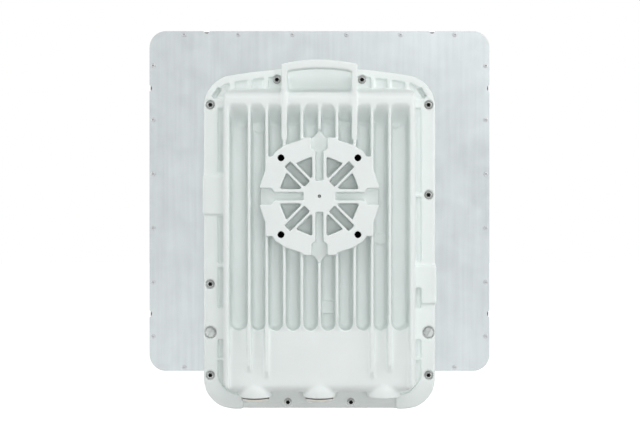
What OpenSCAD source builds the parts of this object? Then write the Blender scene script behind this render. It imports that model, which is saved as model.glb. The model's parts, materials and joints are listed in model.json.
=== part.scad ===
// Outdoor flat-panel radio unit with an integrated square antenna.
// Origin: centre of the four bracket bolts, on the face of the mounting pad.
// +X to the right seen from behind, +Z up, +Y towards the radome.

/* [Antenna panel] */
// Side of the square antenna back plate
panel_size = 371; // [330:1:450]
// Corner radius of the back plate
panel_corner_r = 18; // [10:1:30]
// Thickness of the back plate
panel_t = 2; // [1.5:0.5:3]
// How far the plate's centre lies below the bracket bolts' centre
panel_drop = 4; // [0:0.5:12]
// Rivets along each side of the plate
rivets_per_side = 6; // [4:1:8]
// Distance from a plate corner to the first rivet along the side
rivet_margin = 37.8; // [30:0.5:50]
// Distance from the plate's edge to the rivet centres
rivet_inset = 4; // [3.5:0.1:6]
// Radius of a rivet shank
rivet_r = 1.6; // [1:0.1:2]
// Width of the drain notches in the plate's edge
notch_w = 7; // [4:0.5:12]
// Depth of the drain notches
notch_depth = 2.6; // [1.5:0.1:3.5]
// Distance from a plate corner to a notch along the side
notch_margin = 62.5; // [50:0.5:80]
// Depth of the radome in front of the plate
radome_depth = 23; // [18:1:40]
// Wall thickness of the radome
radome_wall = 2.5; // [2:0.1:4]
// How far the radome's rim stays inside the plate's edge
radome_inset = 1; // [0.5:0.1:3]
// Rounding of the radome's front edge
radome_edge = 9; // [4:1:14]
// Width of the radome's riveted rim
rim_w = 8; // [7:0.5:12]
// Thickness of the seal under the radome's rim
rim_seal_t = 1; // [0.5:0.1:2]

/* [Housing] */
// Width of the cast housing over its flange
housing_w = 250; // [206:1:300]
// Height of the flange's top edge above the bracket bolts' centre
housing_above = 139.6; // [115:0.1:170]
// Depth of the flange's bottom edge below the bracket bolts' centre
housing_below = 228.6; // [190:0.1:275]
// Radius of the arched top edge
arch_r = 550; // [400:10:900]
// Corner radius of the flange at the top
top_corner_r = 36; // [20:1:45]
// Corner radius of the flange at the bottom
bottom_corner_r = 34; // [20:1:45]
// Width of the flange beside the raised body
body_margin = 22.5; // [20:0.5:30]
// Height of the flange above the raised body
body_top_margin = 23.6; // [20:0.5:30]
// Height of the flange below the raised body
body_bottom_margin = 22.6; // [20:0.5:30]
// Depth from the pad face to the rear face of the flange
ledge_y = 40; // [38:0.5:50]
// Thickness of the housing's flange
flange_t = 10; // [8:0.5:14]
// Thickness of the front casting
front_t = 6; // [5:0.5:10]
// Wall thickness of the casting
wall_t = 4; // [3:0.5:6]
// Width of the groove between the flange's ledge and the body
groove_w = 6; // [4:0.5:8]
// Depth of the grooves and pockets in the flange
groove_depth = 4; // [2:0.5:6]

/* [Cooling fins] */
// Fins across the back, an odd number
fin_count = 9; // [7:2:11]
// Depth of the fin tips below the pad face
fin_tip_y = 3; // [2:0.5:6]
// Depth of the channel floors below the pad face
channel_y = 26; // [20:0.5:30]
// Fin thickness at the tip
fin_tip_t = 2.8; // [2:0.1:4]
// Fin thickness at the root
fin_root_t = 4.4; // [3:0.1:6]
// Width of the channel beside each side wall
outer_channel_w = 21; // [14:0.5:26]
// Thickness of the body's side walls
side_wall_t = 8; // [6:0.5:10]
// Rounding of the side walls' outer edges
wall_edge_r = 5; // [2:0.5:6]
// Length over which the channels deepen below their upper ends
channel_ramp = 28; // [15:1:40]
// Depth of the plain label panel below the pad face
label_y = 8; // [6:0.5:12]
// Distance from the housing's bottom edge to the lower end of the channels
channel_rise = 87.6; // [80:0.5:100]

/* [Mounting pad] */
// Spacing of the four bracket bolts
bolt_pitch = 80; // [75:1:100]
// Radius of the tapped bracket holes
bolt_hole_r = 3.4; // [2.5:0.1:5]
// Depth of the tapped bracket holes
bolt_hole_depth = 18; // [12:1:20]
// Radius of the pad's hub
hub_r = 16.6; // [12:0.2:20]
// Half the width of the cross slots between the pad's four lobes
slot_half = 4.1; // [3:0.1:6]
// Width of the ribs beside the windows in the lobes
rib_w = 3.4; // [2.5:0.1:5]
// Depth of the cross slots
slot_depth = 13; // [5:0.5:16]
// Depth of the windows in the lobes
window_depth = 22; // [10:1:24]

/* [Carrying handle] */
// Thickness of the handle legs
leg_t = 5.8; // [4:0.2:8]
// Height of the handle above the flange's top edge
handle_rise = 3; // [1:0.5:8]
// Radius of the handle's arched top
handle_arch_r = 175; // [120:5:400]
// Distance from a handle leg to the flange screw beside it
handle_screw_gap = 6.3; // [5.6:0.1:8]
// Height of the hand bar
bar_h = 8.5; // [7:0.5:12]
// Depth of the hand bar, front to back
bar_d = 15; // [12:0.5:18]

/* [Ports] */
// Radius of the cable gland threads
port_r = 12; // [9:0.1:14.5]
// Wall of the bosses around the ports' threads
boss_wall = 6; // [4:0.5:8]
// Depth of the port axes below the pad face
port_y = 24; // [23:0.5:25]
// Distance from the body's side to the outer port axis
port_margin = 34.5; // [30:0.5:40]
// How far the port bosses stand below the body
boss_drop = 6; // [5:0.5:10]
// Length of a blanking plug's threaded shank
plug_shank = 9; // [8:0.5:10]
// How far a blanking plug's head reaches past the port's thread
plug_lip = 3; // [2:0.1:4]
// Thickness of a blanking plug's head
plug_head_t = 1.8; // [1.8:0.1:4]
// Thickness of the seal under a blanking plug's head
plug_seal_t = 1.2; // [0.8:0.1:2]

/* [Fasteners] */
// Radius of the flange screws' shanks
screw_r = 2; // [1.5:0.1:2.5]
// Radius of the flange screws' heads
screw_head_r = 3.6; // [3:0.1:4.4]
// Height of the flange screws' heads
screw_head_h = 2.6; // [2:0.1:4]
// Radius of the flange screws' washers
washer_r = 4.4; // [4:0.1:4.6]
// Thickness of the flange screws' washers
washer_t = 0.8; // [0.5:0.1:1.2]
// Radius of the ground screws' shanks
ground_r = 2.5; // [2:0.1:3]
// Radius of the ground screws' heads
ground_head_r = 5.3; // [4:0.1:5.4]
// Height of the ground screws' heads
ground_head_h = 3.2; // [2.5:0.1:4]
// Radius of the spot-faces around the ground screws
ground_pocket_r = 6.6; // [6.2:0.1:6.8]
// Depth of the spot-faces around the ground screws
ground_pocket_depth = 4; // [2:0.5:5]
// Height of the ground screws above the housing's bottom edge
ground_rise = 82.8; // [76:0.2:100]
// Height of the left middle flange screw
mid_screw_left_z = -93.8; // [-120:0.2:-80]
// Height of the right middle flange screw
mid_screw_right_z = 2.3; // [-20:0.1:20]

/* [Electronics] */
// Thickness of the circuit boards
board_t = 1.6; // [1:0.1:2.4]
// Clearance between the boards and the housing's walls
board_gap = 3; // [2:0.5:6]
// Gap between the main board and the floor of the bay
board_lift = 9; // [8:0.5:10]
// Height of the standoffs behind the antenna's patch board
patch_lift = 6; // [4:0.5:8]
// Pitch of the antenna patches
patch_pitch = 40; // [36:1:44]
// Side of one antenna patch
patch_size = 24; // [18:1:30]
// Patches along each side of the array
patch_rows = 8; // [6:2:8]
// Radius of the internal coax jumpers
coax_r = 1.1; // [0.8:0.1:1.5]

/* [Hidden] */
$fn = 48;
hull_fn = 32;
cut = 1;
running = 0.05;
slip = 0.4;

half_w = housing_w / 2;
flange_top = housing_above;
flange_bottom = -housing_below;
joint_y = ledge_y + flange_t;
corner_lift = 0.5;
front_y = joint_y + front_t;
plate_y = front_y + panel_t;
radome_y = plate_y + radome_depth;

body_half = half_w - body_margin;
body_top = flange_top - body_top_margin;
body_bottom = flange_bottom + body_bottom_margin;
body_top_r = 12;
body_bottom_r = 18;
body_draft = 2;
body_edge_r = 9;
top_slope_y = 5;
top_slope_z = 7;
side_wall_in = body_half - side_wall_t;

mid_fin = (fin_count - 1) / 2;
fin_pitch = (side_wall_in - outer_channel_w) / mid_fin;
channel_bottom = flange_bottom + channel_rise;
channel_top = body_top - 15;
arc_overlap = 0.15;
panel_blend = 16;
ramp_steps = 10;
arch_share = 0.75;
channel_foot = 2.4;
channel_foot_h = 3;
tail_drop = 50;
outer_tail_drop = 44;
tail_fade = 8;
tail_slope = 1;
tail_t = 4.2;
shallow_depth = 3;
trough_wall = 2;
shallow_r = 5;
outer_shallow_r = 17;
pocket_y = ledge_y + groove_depth;
rim_w_top = 8;
corner_slot_len = 12;
corner_slot_w = 4.4;
corner_slot_x = body_half + 8.5;
corner_slot_z = body_top - 3.5;
corner_slot_turn = -57;
slot_wall = 1.2;

floor_t = 3;
bay_floor = channel_y + floor_t;
low_bay_floor = label_y + shallow_depth + trough_wall;
bay_half = body_half - wall_t;
bay_top = body_top - wall_t;
bay_bottom = body_bottom + wall_t;
bay_split = channel_bottom - wall_t;
bay_r = 6;

bolt = bolt_pitch / 2;
gap_half = slot_half + 4.2;
slot_reach = bolt + 7;
slot_flare = 3;
gap_top = bolt + 21.3;
chevron_h = 9;
lobe_out = bolt + 22.5;
lobe_side = bolt + 16.5;
window_r = bolt + 3.8;
window_in = slot_half + rib_w;
diagonal_half = 4.2;
diagonal_rib = 2.8;
dimple_r = 1.8;
dimple_depth = 4;

handle_fin = 2;
leg_x = handle_fin * fin_pitch;
leg_side = leg_x + leg_t / 2;
handle_top = flange_top + handle_rise;
bar_y = 1;
handle_sag = handle_arch_r - sqrt(handle_arch_r * handle_arch_r - leg_side * leg_side);
leg_foot_z = bolt + 20;
leg_rise_z = body_top - 30;
leg_slope = 12;
port_x = body_half - port_margin;
boss_r = port_r + boss_wall;
plug_head_r = port_r + plug_lip;
port_end = body_bottom - boss_drop;
boss_top = body_bottom + 12;
recess_half = port_x + boss_r - 4;
rim_slope_z = 7;
rim_slope_y = 4.5;
rim_boss_r = 6.4;

screw_inset = 7.4;
top_screw_drop = 13;
top_side_screw_drop = 40.2;
low_side_screw_rise = 36.6;
low_screw_rise = 7.5;
seat_y = pocket_y;
counterbore_r = washer_r + 0.6;
screw_x = half_w - screw_inset;
ground_x = half_w - screw_inset;
ground_z = flange_bottom + ground_rise;
ground_seat = ledge_y + ground_pocket_depth;
screw_len = flange_t - groove_depth + 4.4;
screws = [
    [-leg_side - handle_screw_gap, flange_top - top_screw_drop],
    [leg_side + handle_screw_gap, flange_top - top_screw_drop],
    [-screw_x, flange_top - top_side_screw_drop],
    [screw_x, flange_top - top_side_screw_drop],
    [-screw_x, mid_screw_left_z],
    [screw_x, mid_screw_right_z],
    [-screw_x, flange_bottom + low_side_screw_rise],
    [screw_x, flange_bottom + low_side_screw_rise],
    [-port_x / 2, flange_bottom + low_screw_rise],
    [port_x / 2, flange_bottom + low_screw_rise]
];

panel_half = panel_size / 2;
rivet_pitch = (panel_size - 2 * rivet_margin) / (rivets_per_side - 1);
rim_y = plate_y + rim_seal_t;
rim_t = 2;
rivet_head_r = rivet_r + 0.9;
rivet_head_h = 0.8;

block_rise = 3;
block_over = 1;
block_h = 41;
block_left_z = 2;
block_right_z = flange_bottom + 134.5;
low_groove_z = flange_bottom + 53;
// Long grooves beside the body, as [low Z, high Z] on the left and on the right
left_grooves = [
    [flange_bottom + 55, flange_bottom + 75], [flange_bottom + 109, flange_bottom + 153],
    [flange_bottom + 157, -20], [26, body_top - 20]
];
right_grooves = [
    [flange_bottom + 55, flange_bottom + 75], [flange_bottom + 109, flange_bottom + 131],
    [-70, 0], [4, body_top - 20]
];

main_y = bay_floor + board_lift;
board_half = bay_half - board_gap;
main_low = bay_split + 5;
main_high = bay_top - board_gap;
post_r = 4;
post_hole = 6;
board_screw_r = 1.45;
main_post_pitch = (main_high - main_low - 2 * post_r - 2) / 3;
main_post_zs = [for (k = [0 : 3]) main_low + post_r + 1 + k * main_post_pitch];
socket_h = 13.5;
socket_len = 21;
port_board_y = port_y + socket_h / 2;
port_board_low = bay_bottom + board_gap;
port_board_high = bay_split - 2;
socket_low = port_board_low + 0.5;
port_post_z = port_board_high - 18;
port_post_xs = [-1.5 * port_x + 8, -port_x / 2, port_x / 2, 1.5 * port_x - 8];

gasket_t = 2;
gasket_in = 2.5;
gasket_w = 3;
tray_y = joint_y + 2;
plate_screw_x = body_half + gasket_in + gasket_w + 3.5;
plate_screw_z = body_bottom + 46;
plate_screw_pitch = (body_top - body_bottom - 102) / 2;
plate_screw_top_x = 20;

patch_y = plate_y + patch_lift;
patch_t = 0.3;
standoff_r = 3;
standoff_foot_r = 2;
patch_screw_head_r = 2.6;
patch_screw_head_h = 1.6;

filter_half = 45;
filter_h = 36;
filter_top = 56;
filter_socket_x = 30;
filter_socket_h = 2.5;
feed_x = 60;
feed_z = 76;
feed_r = 4;
feed_pin_r = 0.7;
feed_flange_r = 7;
feed_flange_t = 1.5;
feed_y = tray_y - 4.5;
elbow_half = 3.4;
coax_y = feed_y - elbow_half - 0.1;
coax_bend = 10;
coax_plug_r = 3;
coax_plug_h = 5;

can_y = bay_floor + 2;
shield_x = 6;
shield_w = 56;
shield_z = 8;
shield_h = 84;
chip_half = 15;
chip_t = 1.8;
chip_z = -40;
module_x = 22;
module_w = 44;
module_z = main_low + 16;
module_h = 40;
ribbon_w = 30;
ribbon_low = port_board_high - 8;
ribbon_high = main_low + 7;
ribbon_y = joint_y - 2;
header_h = 4;
header_w = 6;
pad_inset = 4;

ground_washer_t = 1;
ground_washer_r = ground_head_r + 0.6;

// Plate-like solid between two depths, drawn as seen from behind
module slab(y0, y1) {
    translate([0, y1, 0]) rotate([90, 0, 0]) linear_extrude(y1 - y0) children();
}

// Solid between two X positions, drawn as its side profile [Y, Z]
module side_slab(x0, x1) {
    translate([x0, 0, 0]) rotate([90, 0, 90]) linear_extrude(x1 - x0) children();
}

module pin_y(r, y0, y1) {
    translate([0, y1, 0]) rotate([90, 0, 0]) cylinder(r = r, h = y1 - y0);
}

module box(low, high) {
    translate(low) cube(high - low);
}

module both_sides() {
    children();
    mirror([1, 0, 0]) children();
}

// Rectangle with its own corner radius at the top and the bottom
module round_rect(x0, z0, x1, z1, r_low, r_top) {
    translate([x0, z0 + r_low]) square([x1 - x0, z1 - z0 - r_low - r_top]);
    translate([x0 + r_low, z0]) square([x1 - x0 - 2 * r_low, r_low + cut]);
    translate([x0 + r_top, z1 - r_top - cut]) square([x1 - x0 - 2 * r_top, r_top + cut]);
    for (x = [x0 + r_low, x1 - r_low]) translate([x, z0 + r_low]) circle(r_low);
    for (x = [x0 + r_top, x1 - r_top]) translate([x, z1 - r_top]) circle(r_top);
}

// Flange outline: arched top edge, straight sides, rounded corners
module flange_2d(inset = 0) {
    w = half_w - inset;
    r_top = top_corner_r - inset;
    r_low = bottom_corner_r - inset;
    arch_z = flange_top - arch_r;
    corner_x = half_w - top_corner_r;
    reach = arch_r - top_corner_r;
    corner_z = arch_z + sqrt(reach * reach - corner_x * corner_x) + corner_lift;
    shoulder = corner_x * (arch_r - inset) / reach;
    low_x = w - r_low;
    intersection() {
        translate([0, arch_z]) circle(arch_r - inset, $fn = 256);
        union() {
            translate([-shoulder, corner_z]) square([2 * shoulder, flange_top - corner_z]);
            translate([-w, flange_bottom + bottom_corner_r])
                square([2 * w, corner_z - flange_bottom - bottom_corner_r]);
            translate([-low_x, flange_bottom + inset]) square([2 * low_x, r_low + cut]);
            for (x = [-corner_x, corner_x]) translate([x, corner_z]) circle(r_top);
            for (x = [-low_x, low_x]) translate([x, flange_bottom + bottom_corner_r]) circle(r_low);
        }
    }
}

module body_2d(grow = 0) {
    round_rect(-body_half - grow, body_bottom - grow, body_half + grow, body_top + grow,
        body_bottom_r + grow, body_top_r + grow);
}

// Side profile of the raised body, [Y, Z], with the depth of its face below the channels
module body_profile_2d(low_face_y) {
    polygon([
        [fin_tip_y, channel_bottom + panel_blend], [fin_tip_y, body_top - top_slope_z - top_slope_y],
        [fin_tip_y + top_slope_y, body_top - top_slope_z], [ledge_y, body_top], [joint_y, body_top],
        [joint_y, body_bottom], [low_face_y + body_edge_r, body_bottom],
        [low_face_y, body_bottom + body_edge_r], [low_face_y, channel_bottom]
    ]);
    translate([low_face_y + body_edge_r, body_bottom + body_edge_r]) circle(body_edge_r);
}

// Cross-section of the raised body with drafted sides, [X, Y]
module body_section_2d() {
    edge_x = body_half - body_draft - wall_edge_r;
    edge_y = fin_tip_y + wall_edge_r;
    polygon([
        [-body_half - cut, joint_y], [-body_half, ledge_y],
        for (a = [180 : 15 : 270]) [-edge_x + wall_edge_r * cos(a), edge_y + wall_edge_r * sin(a)],
        for (a = [270 : 15 : 360]) [edge_x + wall_edge_r * cos(a), edge_y + wall_edge_r * sin(a)],
        [body_half, ledge_y], [body_half + cut, joint_y]
    ]);
}

module raised_body() {
    intersection() {
        slab(0, joint_y) body_2d();
        union() {
            side_slab(-half_w, half_w) body_profile_2d(label_y);
            // the side walls keep their height down beside the label panel
            both_sides() side_slab(side_wall_in, half_w) body_profile_2d(fin_tip_y);
        }
        translate([0, 0, body_bottom - cut])
            linear_extrude(body_top - body_bottom + 2 * cut) body_section_2d();
    }
    both_sides() {
        fin_tail(mid_fin - 1, tail_drop);
        fin_tail(mid_fin, outer_tail_drop);
    }
}

module fin_tail(fin, drop) {
    x = fin * fin_pitch;
    low_z = channel_bottom - drop;
    side_slab(x - tail_t / 2, x + tail_t / 2) polygon([
        [fin_tip_y, channel_bottom + panel_blend], [fin_tip_y + tail_slope, low_z + tail_fade],
        [label_y, low_z], [label_y + cut, low_z], [label_y + cut, channel_bottom + panel_blend]
    ]);
}

// What an arc of radius r takes off a square corner; the signs say where the corner's inside lies
module corner_waste_2d(x, z, side, up, r) {
    difference() {
        translate([side > 0 ? x - cut : x - r, up > 0 ? z - r : z - cut]) square([r + cut, r + cut]);
        translate([x + side * (r - arc_overlap), z - up * r]) circle(r);
    }
}

// Shallow end of a channel beside the label panel, fading out downwards
module shallow_channel(x0, x1, r_in, r_out) {
    low_z = channel_bottom - outer_tail_drop;
    high_z = channel_bottom + (x1 - x0) / 2;
    intersection() {
        side_slab(x0, x1) polygon([
            [-cut, high_z], [label_y + shallow_depth, high_z], [label_y + shallow_depth, channel_bottom],
            [label_y - cut, low_z], [-cut, low_z]
        ]);
        slab(-cut, joint_y) difference() {
            translate([x0 - cut, low_z - cut]) square([x1 - x0 + 2 * cut, high_z - low_z + 2 * cut]);
            corner_waste_2d(x0, low_z, 1, -1, r_in);
            corner_waste_2d(x1, low_z, -1, -1, r_out);
        }
    }
}

// Space between two fins, given the faces at the fin tips: a round lower end and an arched upper end
// that may lean to one side
module channel(x0, x1, r_left, r_right) {
    end_r = (x1 - x0) / 2;
    end_z = channel_bottom + end_r;
    draft = (fin_root_t - fin_tip_t) / 2;
    foot_y = channel_y - channel_foot_h;
    depth = channel_y - fin_tip_y + cut;
    half_profile = [
        [end_r, -cut], [end_r, fin_tip_y], [end_r - draft, foot_y], [end_r - draft - channel_foot, channel_y]
    ];
    translate([x0 + end_r, 0, end_z]) rotate([-90, 0, 0]) rotate_extrude(angle = 180)
        polygon(concat([[0, -cut]], half_profile, [[0, channel_y]]));
    intersection() {
        translate([x0 + end_r, 0, end_z]) linear_extrude(channel_top - end_z) polygon(concat(
            half_profile, [for (k = [3 : -1 : 0]) [-half_profile[k][0], half_profile[k][1]]]
        ));
        slab(-2 * cut, channel_y + cut) difference() {
            translate([x0 - cut, end_z - cut]) square([x1 - x0 + 2 * cut, channel_top - end_z + 2 * cut]);
            corner_waste_2d(x0, channel_top, 1, 1, r_left);
            corner_waste_2d(x1, channel_top, -1, 1, r_right);
        }
        side_slab(x0 - cut, x1 + cut) polygon([
            [-2 * cut, end_z - cut], [channel_y + cut, end_z - cut],
            [channel_y + cut, channel_top - channel_ramp - cut],
            for (k = [0 : ramp_steps]) [
                channel_y - depth * (1 - cos(180 * k / ramp_steps)) / 2,
                channel_top - channel_ramp * (1 - k / ramp_steps)
            ],
            [-2 * cut, channel_top]
        ]);
    }
}

module channels() {
    w = fin_pitch - fin_tip_t;
    both_sides() {
        for (i = [0 : mid_fin - 1]) {
            lean = i < handle_fin;
            x0 = i * fin_pitch + fin_tip_t / 2;
            channel(x0, x0 + w, lean ? cut : w, lean ? w : cut);
        }
        channel(mid_fin * fin_pitch + fin_tip_t / 2, side_wall_in, arch_share * w, arch_share * w);
        shallow_channel(
            (mid_fin - 1) * fin_pitch + tail_t / 2, mid_fin * fin_pitch - tail_t / 2, shallow_r, shallow_r
        );
        shallow_channel(mid_fin * fin_pitch + tail_t / 2, side_wall_in, shallow_r, outer_shallow_r);
    }
}

// One lobe of the mounting pad, upper right as seen from behind
module lobe_2d() {
    polygon([
        [slot_half, slot_half], [slot_half, slot_reach], [gap_half, slot_reach + slot_flare],
        [gap_half, gap_top], [bolt - 24, gap_top], [bolt - 20, bolt + 18.5], [bolt - 6, bolt + 14],
        [bolt + 1, bolt + 10], [bolt + 6, bolt + 6.5], [bolt + 9, bolt + 1.5],
        [lobe_side, bolt + 1.5], [lobe_side, bolt - 12.5], [lobe_out, gap_half + 1],
        [lobe_out - 1, gap_half], [slot_reach + slot_flare, gap_half], [slot_reach, slot_half]
    ]);
}

// The windows of one lobe: two triangles and a diagonal slot
module lobe_windows_2d() {
    side = diagonal_half + diagonal_rib;
    for (flip = [0, 1]) mirror([flip, -flip]) intersection() {
        circle(window_r, $fn = 96);
        translate([window_in, 0]) square(window_r);
        rotate(45) translate([0, side]) square(window_r);
        rotate(67.5) translate([0, -window_r]) square([window_r * cos(20), 2 * window_r]);
    }
    rotate(45) translate([hub_r + 1.5, -diagonal_half]) square([window_r - hub_r + 2, 2 * diagonal_half]);
}

// The cross-shaped slots between the lobes and the pointed ends over the middle fin
module gap_2d() {
    for (a = [0, 90, 180, 270]) rotate(a) {
        translate([hub_r - 3, -slot_half]) square([slot_reach - hub_r + 4, 2 * slot_half]);
        polygon([
            [slot_reach, -slot_half], [slot_reach + slot_flare, -gap_half], [lobe_out, -gap_half],
            [lobe_out, gap_half], [slot_reach + slot_flare, gap_half], [slot_reach, slot_half]
        ]);
    }
    for (s = [-1, 1]) polygon([
        [-gap_half, s * (gap_top - cut)], [0, s * (gap_top + chevron_h)], [gap_half, s * (gap_top - cut)]
    ]);
}

// The pad stands up from the channel floors as solid columns
module pad() {
    slab(0, bay_floor) {
        for (sx = [0, 1], sz = [0, 1]) mirror([sx, 0]) mirror([0, sz]) lobe_2d();
        circle(hub_r);
    }
    slab(slot_depth, bay_floor) gap_2d();
}

module pad_cuts() {
    slab(-cut, slot_depth) difference() {
        gap_2d();
        circle(hub_r);
    }
    slab(-cut, window_depth)
        for (sx = [0, 1], sz = [0, 1]) mirror([sx, 0]) mirror([0, sz]) lobe_windows_2d();
    for (x = [-bolt, bolt], z = [-bolt, bolt])
        translate([x, 0, z]) pin_y(bolt_hole_r, -cut, bolt_hole_depth);
    pin_y(dimple_r, -cut, dimple_depth);
}

// Two legs that grow out of fins, and an arched hand bar standing clear of the flange
module handle() {
    arch_z = handle_top - handle_arch_r;
    intersection() {
        union() {
            both_sides() side_slab(leg_x - leg_t / 2, leg_side) polygon([
                [fin_tip_y, leg_foot_z], [bar_y, leg_rise_z], [bar_y, handle_top],
                [bar_y + bar_d, handle_top], [bar_y + bar_d, flange_top - cut],
                [ledge_y, flange_top - leg_slope],
                [joint_y - cut, flange_top - leg_slope], [joint_y - cut, body_top - wall_t],
                [channel_y, leg_rise_z], [channel_y, leg_foot_z]
            ]);
            slab(bar_y, bar_y + bar_d) difference() {
                translate([-leg_side, flange_top - bar_h - handle_sag])
                    square([2 * leg_side, bar_h + handle_sag + handle_rise]);
                translate([0, arch_z - bar_h]) circle(handle_arch_r, $fn = 256);
            }
        }
        slab(0, joint_y) translate([0, arch_z]) circle(handle_arch_r, $fn = 256);
    }
}

module port_bosses() {
    for (x = [-port_x, 0, port_x]) translate([x, port_y, 0]) {
        translate([0, 0, port_end]) cylinder(r = boss_r, h = body_bottom + 2 - port_end);
        translate([0, 0, body_bottom + 2])
            cylinder(r1 = boss_r, r2 = boss_r - 3, h = boss_top - body_bottom - 2);
    }
}

module side_groove(x, span) {
    slab(0, pocket_y) translate([x, span[0]]) square([groove_w, span[1] - span[0]]);
}

// Pockets in the flange above the body, with the ribs left standing between them
module top_pockets() {
    rib = 2.2;
    floor_z = body_top + cut;
    slab(0, pocket_y) difference() {
        intersection() {
            flange_2d(rim_w_top);
            union() {
                both_sides_2d() translate([leg_x + leg_t / 2, floor_z])
                    square([half_w - leg_x, flange_top - floor_z]);
                both_sides_2d() translate([side_wall_in + 2 * rib, flange_top - top_side_screw_drop + 7])
                    square([body_margin, flange_top]);
            }
        }
        body_2d(cut);
        both_sides_2d() for (x = [3 * fin_pitch + 2.5, 4 * fin_pitch + 1.5, side_wall_in])
            translate([x - rib, 0]) square([2 * rib, flange_top]);
    }
    // deep slots inside the upper corners
    both_sides() slab(0, joint_y - slot_wall) translate([corner_slot_x, corner_slot_z])
        rotate(corner_slot_turn) square([corner_slot_len, corner_slot_w], center = true);
}

// The flange steps back below the ports, to clear the cable glands, and round the lower corners
module low_cuts() {
    slab(0, pocket_y) {
        translate([-recess_half, flange_bottom - cut]) square([2 * recess_half, body_bottom - flange_bottom]);
        difference() {
            body_2d(groove_w + cut);
            body_2d(cut);
            translate([-half_w, low_groove_z]) square([housing_w, housing_w * 2]);
        }
    }
    difference() {
        side_slab(-recess_half, recess_half) polygon([
            [ledge_y, flange_bottom - cut], [ledge_y, flange_bottom + rim_slope_z],
            [pocket_y, flange_bottom + rim_slope_z], [pocket_y + rim_slope_y, flange_bottom - cut]
        ]);
        for (p = screws) translate([p[0], 0, p[1]]) pin_y(rim_boss_r, ledge_y - cut, joint_y);
    }
}

module both_sides_2d() {
    children();
    mirror([1, 0]) children();
}

module flange_cuts() {
    for (g = left_grooves) side_groove(-body_half - groove_w - cut, g);
    for (g = right_grooves) side_groove(body_half + cut, g);
    top_pockets();
    low_cuts();
    for (p = screws) translate([p[0], 0, p[1]]) pin_y(counterbore_r, ledge_y - groove_depth, seat_y);
    both_sides() translate([ground_x, 0, ground_z]) {
        pin_y(ground_pocket_r, ledge_y - groove_depth, ground_seat);
        pin_y(ground_r + running, ground_seat - cut, joint_y + cut);
    }
}

// Smooth raised blocks on the ledge, one on each side at different heights
module ledge_blocks() {
    slab(ledge_y - block_rise, joint_y) {
        translate([-half_w - block_over, block_left_z - block_h / 2]) square([body_margin + 2, block_h]);
        translate([half_w + block_over - body_margin - 2, block_right_z - block_h / 2])
            square([body_margin + 2, block_h]);
    }
}

// Small round cast bosses left by the ejector pins on the channel floors
module ejector_bosses() {
    for (p = [[3.5, -45, 6], [-3.5, 74, 6], [4.4, 77, 4]])
        translate([p[0] * fin_pitch, 0, p[1]]) pin_y(p[2], channel_y - 2, channel_y + cut);
    step_h = 13;
    step_z = channel_bottom + 17;
    box([fin_tip_t, channel_y - 4, step_z], [fin_pitch - fin_tip_t, channel_y + cut, step_z + step_h]);
}

module bay_2d(z0, z1) {
    round_rect(-bay_half, z0, bay_half, z1, bay_r, bay_r);
}

module at_board_screws() {
    for (x = [-board_half + post_r + 1, board_half - post_r - 1], z = main_post_zs)
        translate([x, 0, z]) children();
}

module at_port_board_screws() {
    for (x = port_post_xs) translate([x, 0, port_post_z]) children();
}

module posts() {
    at_board_screws() pin_y(post_r, bay_floor - cut, main_y);
    at_port_board_screws() pin_y(post_r, low_bay_floor - cut, port_board_y);
}

module rear_housing() {
    color("gainsboro") difference() {
        union() {
            difference() {
                union() {
                    difference() {
                        union() {
                            slab(ledge_y, joint_y) flange_2d();
                            ledge_blocks();
                        }
                        flange_cuts();
                    }
                    raised_body();
                }
                channels();
            }
            pad();
            handle();
            port_bosses();
            ejector_bosses();
        }
        pad_cuts();
        difference() {
            union() {
                slab(bay_floor, joint_y + cut) bay_2d(bay_bottom, bay_top);
                slab(low_bay_floor, joint_y + cut) bay_2d(bay_bottom, bay_split);
            }
            posts();
        }
        for (x = [-port_x, 0, port_x]) translate([x, port_y, port_end - cut])
            cylinder(r = port_r, h = bay_bottom - port_end + 2 * cut);
        for (p = screws) translate([p[0], 0, p[1]]) pin_y(screw_r + slip / 2, seat_y - cut, joint_y + cut);
        at_board_screws() pin_y(board_screw_r, main_y - post_hole, main_y + cut);
        at_port_board_screws() pin_y(board_screw_r, port_board_y - post_hole, port_board_y + cut);
    }
}

module housing_gasket() {
    color("dimgray") slab(joint_y, joint_y + gasket_t) difference() {
        body_2d(gasket_in + gasket_w);
        body_2d(gasket_in);
    }
}

module front_casting() {
    color("whitesmoke") difference() {
        slab(joint_y, front_y) flange_2d();
        slab(joint_y - cut, joint_y + gasket_t) difference() {
            body_2d(gasket_in + gasket_w);
            body_2d(gasket_in);
        }
        slab(joint_y - cut, tray_y) bay_2d(bay_bottom, bay_top);
        for (p = screws) translate([p[0], 0, p[1]]) pin_y(screw_r + running, joint_y - cut, front_y - cut);
        at_plate_screws() pin_y(screw_r + running, joint_y + 1.5, front_y + cut);
        at_feeds() pin_y(feed_r + running, tray_y - cut, front_y + cut);
        at_rivets() pin_y(rivet_head_r + slip, front_y - rivet_head_h - slip, front_y + cut);
    }
}

// Pan-head screw along +Y with a socket in its head, seated at the given depth
module machine_screw(seat, r, head_r, head_h, len) {
    difference() {
        union() {
            pin_y(head_r, seat - head_h, seat);
            pin_y(r, seat - cut, seat + len);
        }
        translate([0, seat - head_h * 0.4, 0]) rotate([90, 0, 0])
            cylinder(r = head_r * 0.5, h = head_h, $fn = 6);
    }
}

module washer(seat, r, hole_r, t) {
    difference() {
        pin_y(r, seat - t, seat);
        pin_y(hole_r, seat - t - cut, seat + cut);
    }
}

module flange_screws() {
    color("dimgray") for (p = screws) translate([p[0], 0, p[1]])
        machine_screw(seat_y - washer_t, screw_r, screw_head_r, screw_head_h, screw_len + washer_t);
}

module flange_washers() {
    color("silver") for (p = screws) translate([p[0], 0, p[1]])
        washer(seat_y, washer_r, screw_r + slip / 2, washer_t);
}

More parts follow.
